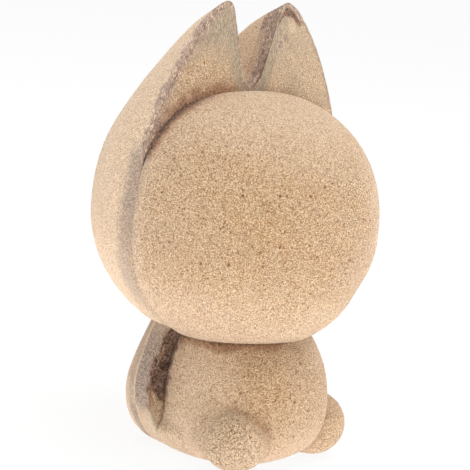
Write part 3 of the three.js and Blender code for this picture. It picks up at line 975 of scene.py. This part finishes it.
def make_belly(material):
    rows, columns = BELLY_GRID
    turns = np.linspace(0, math.pi, columns)
    back = np.linspace(-1, 1, BELLY_BACK_COLUMNS)[1:-1]
    climb = np.sin(np.linspace(0, math.pi / 2, rows, endpoint=False)) ** BELLY_CLIMB
    rings = []
    for height in (BELLY_CENTRE_HEIGHT + BELLY_RISE) * climb:
        front = belly_point(turns, np.array(height))
        wide = front[0, 0]
        rear = np.stack([back * wide, 0 * back + BOARD_FRONT, 0 * back + height], axis=1)
        rings.append(np.concatenate([front, rear]))
    rings = np.array(rings)
    flat = rings.reshape(-1, 3)
    flat[:, 2] = np.minimum(flat[:, 2], ball_underside(flat) + BELLY_SEAT_OVERLAP)
    points, mesh = loft("belly_fibre", flat.reshape(rings.shape))
    skin = uneven(points, fine=0.06, fine_size=1.5, broad=0.08, broad_size=8, seed=41)
    ahead = BOARD_FRONT - points[:, 1]
    points = move_along(mesh, points, vertex_normals(mesh), skin * fade(ahead, 0, 1))

    x, z = points[:, 0], points[:, 2]
    under = ball_underside(points) - z
    wavy = lattice_noise(points, 3, 43)
    ragged = rough(points, 2.4, 44)
    burn = fade(x, -24, -17) * fade(x, 2, -8)
    burnt_neck = 0.8 * burn * fade(under + 1.5 * wavy, 4.5, 0.5)
    scorched_neck = 0.55 * burn * fade(under + 0.5 * wavy, 1.3, 0.2)
    ledge = np.where(x < 0, 1, 0.5) * fade(z + 1.5 * ragged, 8, 12)
    rust_edge = ledge * fade(ahead + 1.6 * ragged, 1.8, 0.6)
    scorched_edge = 0.8 * ledge * fade(ahead + 1.5 * ragged, 1.0, 0.3)
    from_foot = np.minimum(*(foot_distance(points, foot_seat(side)) for side in (1, -1)))
    # Dust and painted shade: a rust-brown band on the belly round the top of each foot, darkest in the
    # crease
    dust_and_crease_shade = 0.55 * fade(from_foot + 0.8 * wavy, 3, 0.3) * fade(z, 7, 13)
    marks = {
        "coarse_and_painted_light": 0.3 * fade(z, 12, 2),
        "sanded_and_painted_light": belly_sanding_and_painted_light(points),
        "rust_and_crease_shade": np.maximum.reduce([burnt_neck, 0.5 * rust_edge, dust_and_crease_shade]),
        "scorch": np.maximum(scorched_neck, scorched_edge),
        "pale": 0.5 * fade(z + wavy, 4, 0.5),
    }
    make_piece(mesh, material, "belly", marks)


def make_body_back(material):
    rows, columns = RUMP_GRID
    line = haunch_line()
    top = line[-1, 1]
    outline = mirrored(np.concatenate([[(0, 0)], line, [(0, top)]]), columns)
    rings = []
    for share in dome_shares(rows, RUMP_FULLNESS)[0]:
        height = outline[:, 1] * girth(share, RUMP_CREST_FULLNESS)
        depth = RUMP_DEPTH + (NECK_DEPTH - RUMP_DEPTH) * (height / top) ** RUMP_TAPER
        across = outline[:, 0] * girth(share, RUMP_FULLNESS)
        rings.append(np.stack([across, BOARD_FRONT + BOARD_THICKNESS + depth * share, height], axis=1))
    points, mesh = loft("body_back_fibre", rings)
    points = move_along(mesh, points, skin_normals(mesh, points, BOARD_THICKNESS), rear_skin(points))

    z = points[:, 2]
    behind = points[:, 1] - BOARD_FRONT - BOARD_THICKNESS
    wavy = lattice_noise(points, 3, 53)
    low_grey = 0.95 * fade(z + wavy, 13, 9) * fade(behind + 0.6 * wavy, 4.2, 2.4)
    haunch_grey = 0.6 * fade(behind + wavy, 8, 1.5) * fade(z, 6, 12)
    marks = {
        "sanded_and_painted_light": np.full(len(points), 0.8),
        # Painted highlight: the pale line just behind the board, along the ridge where the two blocks meet
        "pale": 0.8 * fade(behind + 0.3 * wavy, 1.4, 0.5) * fade(z, 8, 14),
        "torn": 0.5 * fade(z + wavy, 12, 8) * fade(behind + 0.6 * wavy, 3, 1.4),
        "rust_and_crease_shade": 0.2 * fade(behind + 2 * wavy, 8, 3) * fade(z, 8, 14),
        "grey": np.maximum(low_grey, haunch_grey),
    }
    make_piece(mesh, material, "body_back", marks)


# Feet

def foot_seat(side):
    """Centre of a foot, just inside the belly's front corner."""
    height = np.array(FOOT_HEIGHT)
    point = belly_point(np.radians(FOOT_ANGLE), height)
    wide, deep = belly_section(height)
    steep = BELLY_PLAN_FULLNESS - 1
    across = (point[0] / wide) ** steep / wide
    forward = ((BOARD_FRONT - point[1]) / deep) ** steep / deep
    slope = np.array([across, -forward, 0])
    return (point - FOOT_INSET * slope / np.linalg.norm(slope)) * (side, 1, 1)


def foot_distance(points, centre):
    """Distance outside the foot's round, about right near its skin."""
    place = points - centre
    scaled = np.linalg.norm(place / FOOT_RADII, axis=-1)
    slope = np.linalg.norm(place / FOOT_RADII ** 2, axis=-1)
    return scaled * (scaled - 1) / np.maximum(slope, TINY)


def smooth_least(a, b, width):
    """The lesser of two distances, rounded over a width where they meet."""
    blend = np.maximum(width - np.abs(a - b), 0) / width
    return np.minimum(a, b) - blend * blend * width / 4


def foot_skin(side):
    """Grid over the belly's front corner: its points, the way out, and degrees ahead of the foot's seat."""
    rows, columns = FOOT_GRID
    turns = np.radians(np.linspace(*FOOT_TURNS, columns))
    if side < 0:
        turns = math.pi - turns
    turn, height = np.meshgrid(turns, np.linspace(0, FOOT_TOP, rows))
    skin = belly_point(turn, height)
    out = np.cross(np.gradient(skin, axis=1), np.gradient(skin, axis=0)) * side
    out /= np.linalg.norm(out, axis=-1, keepdims=True)
    out *= np.where((out[..., :2] * skin[..., :2]).sum(-1, keepdims=True) < 0, -1, 1)
    return skin, out, np.degrees(turn if side > 0 else math.pi - turn) - FOOT_ANGLE


def foot_swell(skin, out, ahead_of_seat, centre):
    """Height of the foot over the belly's skin, with a fillet that is widest at the side."""
    fillet = FOOT_FILLET + (FOOT_SIDE_FILLET - FOOT_FILLET) * fade(ahead_of_seat, -4, -24)
    swell = np.full(ahead_of_seat.shape, SWELL_START)
    for _ in range(SWELL_ROUNDS):
        place = skin + out * swell[..., None]
        gap = smooth_least(swell, foot_distance(place, centre), fillet)
        swell = np.maximum(swell - SWELL_STEP * gap, 0)
    return swell


def make_foot(name, side, material):
    """Foot that swells softly out of the belly; its border dips under the belly's skin."""
    skin, out, ahead_of_seat = foot_skin(side)
    swell = foot_swell(skin, out, ahead_of_seat, foot_seat(side))
    lift = swell - FOOT_DIP * fade(swell, 0.25, 0.0)
    shell = [skin + out * lift[..., None], skin - out * FOOT_SHELL]
    for sheet in shell:
        sheet[..., 2] = np.maximum(sheet[..., 2], 0)
    points, mesh = closed_sheet(name + "_fibre", *shell)
    swollen = np.concatenate([swell.ravel(), 0 * swell.ravel()])
    relief = uneven(points, fine=0.11, fine_size=1.1, broad=0.05, broad_size=4, seed=61)
    points = move_along(mesh, points, vertex_normals(mesh), fade(swollen, 0.3, 1.5) * relief)

    # Painted shade: a rust tone laid in the crease where the foot meets the belly, on the foot's forward
    # side
    crease_shade_side = fade(np.tile(ahead_of_seat.ravel(), 2), -14, 4)
    # The near foot, on the cat's right, is made coarser and so lighter than the far one: open fibre, and
    # painted light where the near foot lies in shade
    openness_and_painted_light = 1 if side < 0 else 0.35
    marks = {
        "coarse_and_painted_light": openness_and_painted_light * fade(swollen + 0.8 * lattice_noise(points, 4, 63), 0.4, 5.0),
        # The sanding share taken from the belly brings the belly's painted light onto the foot's rim
        "sanded_and_painted_light": belly_sanding_and_painted_light(points) * fade(swollen, 4, 0.2),
        "rust_and_crease_shade": 0.5 * crease_shade_side * fade(swollen + 0.5 * lattice_noise(points, 2, 64), 2, 0.3),
    }
    make_piece(mesh, material, name, marks)


# Stage: floor, light and camera, in metres and watts
WHITE = 1, 1, 1, 1
FLOOR_COLOUR = 0.93, 0.93, 0.93, 1
FLOOR_REACH = 6.0
FLOOR_GAP = 0.0003
FLOOR_WHITE_SHARE = 0.9
TABLE_GLOW = 1.1
TENT_FRONT = 0.43
TENT_REAR = 0.75
TENT_REAR_FACING = -0.2
LAMP_AIM = Vector((0, 0, 0.06))


def make_floor():
    """Pale floor, nearly white where it is seen, that lights the object from below."""
    mesh = bpy.data.meshes.new("floor")
    ends = (-FLOOR_REACH, FLOOR_REACH)
    mesh.from_pydata([(x, y, -FLOOR_GAP) for x in ends for y in ends], [], [(0, 2, 3, 1)])
    g = Graph(bpy.data.materials.new("floor_white"))
    seen = g.seen()
    matt = g.node("BsdfDiffuse", {"Color": FLOOR_COLOUR})
    white = g.node("Emission", {"Color": WHITE, "Strength": 1.0})
    whitened = g.times(seen, FLOOR_WHITE_SHARE)
    mixed = g.node("MixShader", {0: whitened, 1: matt.outputs[0], 2: white.outputs[0]})
    glow = g.times(g.minus(1.0, seen), TABLE_GLOW)
    table = g.node("Emission", {"Color": WHITE, "Strength": glow})
    lit = g.node("AddShader", {0: mixed.outputs[0], 1: table.outputs[0]})
    g.node("OutputMaterial", {"Surface": lit.outputs[0]})
    mesh.materials.append(g.owner)
    floor = new_object("floor", mesh)


def light_tent():
    """White all round, weaker from the front, and pure white where it is seen."""
    scene.world = bpy.data.worlds.new("tent")
    g = Graph(scene.world)
    azimuth = math.radians(CAMERA_AZIMUTH)
    ways = {0: g.coordinates.outputs["Generated"], 1: (math.sin(azimuth), -math.cos(azimuth), 0)}
    facing = g.node("VectorMath", ways, operation="DOT_PRODUCT").outputs["Value"]
    inputs = {"Value": facing, "From Min": TENT_REAR_FACING, "To Min": TENT_REAR, "To Max": TENT_FRONT}
    level = g.node("MapRange", inputs).outputs[0]
    tent = g.node("Background", {"Color": WHITE, "Strength": level})
    white = g.node("Background", {"Color": WHITE})
    mixed = g.node("MixShader", {0: g.seen(), 1: tent.outputs[0], 2: white.outputs[0]})
    g.node("OutputWorld", {"Surface": mixed.outputs[0]})


def make_lamp(name, place, size, power):
    lamp = bpy.data.lights.new(name, "AREA")
    lamp.size = size
    lamp.energy = power
    made = new_object(name, lamp)
    made.location = place
    aim = LAMP_AIM - Vector(place)
    made.rotation_euler = aim.to_track_quat("-Z", "Y").to_euler()


def make_camera():
    azimuth, elevation, roll = (math.radians(a) for a in (CAMERA_AZIMUTH, CAMERA_ELEVATION, CAMERA_ROLL))
    level = math.cos(elevation)
    back = Vector((math.sin(azimuth) * level, -math.cos(azimuth) * level, math.sin(elevation)))
    right = Vector((math.cos(azimuth), math.sin(azimuth), 0))
    up = back.cross(right)
    turned_right = math.cos(roll) * right + math.sin(roll) * up
    turned_up = math.cos(roll) * up - math.sin(roll) * right
    aim = Vector((0, BOARD_FRONT, CAMERA_AIM_HEIGHT)) + CAMERA_AIM_OFFSET * right
    place = (aim + CAMERA_DISTANCE * back) * MM
    data = bpy.data.cameras.new("camera")
    data.lens = CAMERA_LENS
    data.sensor_width = CAMERA_SENSOR
    data.sensor_fit = "HORIZONTAL"
    camera = new_object("camera", data)
    axes = Matrix((turned_right, turned_up, back)).transposed().to_4x4()
    camera.matrix_world = Matrix.Translation(place) @ axes
    scene.camera = camera


make_camera()
make_floor()
light_tent()
make_lamp("top_lamp", place=(0.1, -0.2, 1.0), size=0.9, power=9.9)
make_lamp("side_lamp", place=(0.8, -0.6, 0.25), size=0.8, power=1.75)

face_fibre = fibreboard("face_fibre", *FACE_TONES, strength=1.25, speck_share=0.24)
back_fibre = fibreboard("back_fibre", *BACK_TONES, strength=1.05, speck_share=0.06)
board_fibre = fibreboard("board_fibre", *BOARD_TONES, strength=1.1, speck_share=0.2)
foot_fibre = fibreboard("foot_fibre", *FACE_TONES, strength=1.25, speck_share=0.1)

make_face_dome(face_fibre)
make_head_back(back_fibre)
make_centre_board(board_fibre)
make_belly(face_fibre)
make_body_back(back_fibre)
make_foot("left_foot", 1, foot_fibre)
make_foot("right_foot", -1, foot_fibre)

dowels = dowel_wood()
for node_name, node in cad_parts.items():
    if node_name.endswith(("dowel", "peg")):
        node.data.materials.clear()
        node.data.materials.append(dowels)

scene.view_settings.view_transform = "Standard"
